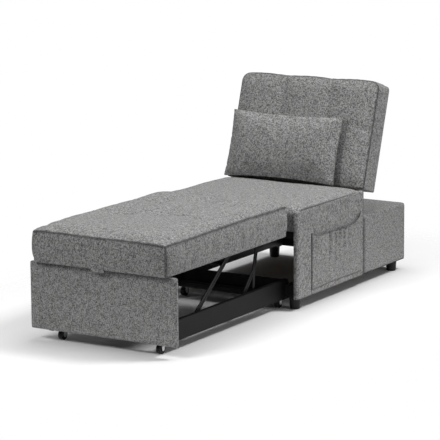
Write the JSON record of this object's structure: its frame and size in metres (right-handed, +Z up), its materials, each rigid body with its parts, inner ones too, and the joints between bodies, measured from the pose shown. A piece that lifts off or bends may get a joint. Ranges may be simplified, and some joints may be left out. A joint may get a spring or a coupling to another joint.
{
  "type": "convertible chair bed",
  "caption": "Upholstered single chair bed opened flat: seat with reclining back, rolling tray that lifts a foot pad level with the seat, low rear box, side pocket and loose pillow.",
  "frame": {"origin": "bottom centre of the whole object's box, on the floor, with the chair opened out as a bed and the back upright", "axes": "+X to the sitter's left hand as seen from the front, +Y from the foot pad to the back, +Z up"},
  "size_m": [0.648, 1.7861, 0.8132],
  "materials": {
    "upholstery": "heathered mid-grey woven upholstery cloth",
    "foam": "open-cell upholstery foam",
    "carcass_board": "raw plywood and particle board",
    "timber": "sawn softwood",
    "black_board": "board with a satin black lacquer",
    "black_steel": "black powder coat",
    "zinc_steel": "bright zinc plate",
    "spring_wire": "oiled spring wire",
    "black_plastic": "moulded black plastic",
    "glide_rubber": "matte black rubber",
    "caster_wheel": "smooth black nylon"
  },
  "bodies": {
    "root": {"side_board_right": "black_board", "side_board_left": "black_board", "side_cover_right": "upholstery", "side_cover_left": "upholstery", "side_foam": "foam", "seat_foam": "foam", "seat_front_cover": "upholstery", "seat_top_cover": "upholstery", "seat_rear_cover": "upholstery", "seat_front_rail": "black_board", "seat_back_board": "carcass_board", "seat_springs": "spring_wire", "spring_clips": "zinc_steel", "rear_board": "black_board", "rear_deck_board": "carcass_board", "rear_cover": "upholstery", "rear_deck_pad": "upholstery", "legs": "black_plastic", "leg_glides": "glide_rubber", "corner_blocks": "black_board", "tray_guides": "black_plastic", "side_pocket": "upholstery", "hinge_bases": "zinc_steel", "hinge_pins": "zinc_steel", "hinge_screws": "zinc_steel"},
    "tray": {"front_panel_board": "carcass_board", "front_panel_cover": "upholstery", "tray_rail_right": "black_board", "tray_rail_left": "black_board", "tray_front_beam": "black_board", "tray_rear_beam": "black_board", "caster_forks": "zinc_steel", "caster_screws": "zinc_steel", "arm_pivot_studs": "black_steel"},
    "wheel_front_right": {"wheel_front_right": "caster_wheel"},
    "wheel_front_left": {"wheel_front_left": "caster_wheel"},
    "wheel_rear_right": {"wheel_rear_right": "caster_wheel"},
    "wheel_rear_left": {"wheel_rear_left": "caster_wheel"},
    "front_arms": {"front_arms": "black_steel", "front_tie_tube": "black_steel"},
    "rear_arms": {"rear_arms": "black_steel"},
    "pad": {"pad_front_brackets": "black_steel", "pad_front_pins": "black_steel", "pad_rear_brackets": "black_steel", "bracket_screws": "zinc_steel", "pad_deck": "black_board", "pad_foam": "foam", "pad_cover": "upholstery", "pad_front_roll": "upholstery", "pull_tab": "upholstery"},
    "backrest": {"back_cover": "upholstery", "back_foam": "foam", "back_stiles": "timber", "back_rails": "timber", "back_panel": "carcass_board", "hinge_arms": "zinc_steel"},
    "pillow": {"lumbar_pillow": "upholstery"}
  },
  "joints": [
    {"name": "tray_slide", "type": "slide", "parent": "root", "child": "tray", "axis": [0, -1, 0], "range_m": [-0.015, 0.05]},
    {"name": "front_arm_lift", "type": "hinge", "parent": "tray", "child": "front_arms", "pos_m": [0, -0.597, 0.095], "axis": [-1, 0, 0], "range_deg": [0, 35], "deforming": ["pad_front_roll", "pull_tab"]},
    {"name": "pad_level", "type": "hinge", "parent": "front_arms", "child": "pad", "pos_m": [0, -0.357, 0.275], "axis": [-1, 0, 0], "range_deg": [-35, 0]},
    {"name": "rear_arm_lift", "type": "hinge", "parent": "tray", "child": "rear_arms", "pos_m": [0, -0.254, 0.1], "axis": [-1, 0, 0], "range_deg": [0, 57.93]},
    {"name": "backrest_recline", "type": "hinge", "parent": "root", "child": "backrest", "pos_m": [0, 0.539, 0.374], "axis": [-1, 0, 0], "range_deg": [0, 72]},
    {"name": "pillow_lift_off", "type": "slide", "parent": "backrest", "child": "pillow", "axis": [0, -0.9511, 0.309], "range_m": [0, 0.1]},
    {"name": "wheel_front_right_spin", "type": "hinge", "parent": "tray", "child": "wheel_front_right", "pos_m": [0.214, -0.813, 0.019], "axis": [1, 0, 0], "continuous": true},
    {"name": "wheel_front_left_spin", "type": "hinge", "parent": "tray", "child": "wheel_front_left", "pos_m": [-0.214, -0.813, 0.019], "axis": [1, 0, 0], "continuous": true},
    {"name": "wheel_rear_right_spin", "type": "hinge", "parent": "tray", "child": "wheel_rear_right", "pos_m": [0.214, 0.0245, 0.019], "axis": [1, 0, 0], "continuous": true},
    {"name": "wheel_rear_left_spin", "type": "hinge", "parent": "tray", "child": "wheel_rear_left", "pos_m": [-0.214, 0.0245, 0.019], "axis": [1, 0, 0], "continuous": true}
  ],
  "couplings": [
    {"joint": "pad_level", "follows": "front_arm_lift", "ratio": -1},
    {"joint": "rear_arm_lift", "follows": "front_arm_lift", "ratio": 1.6553}
  ]
}
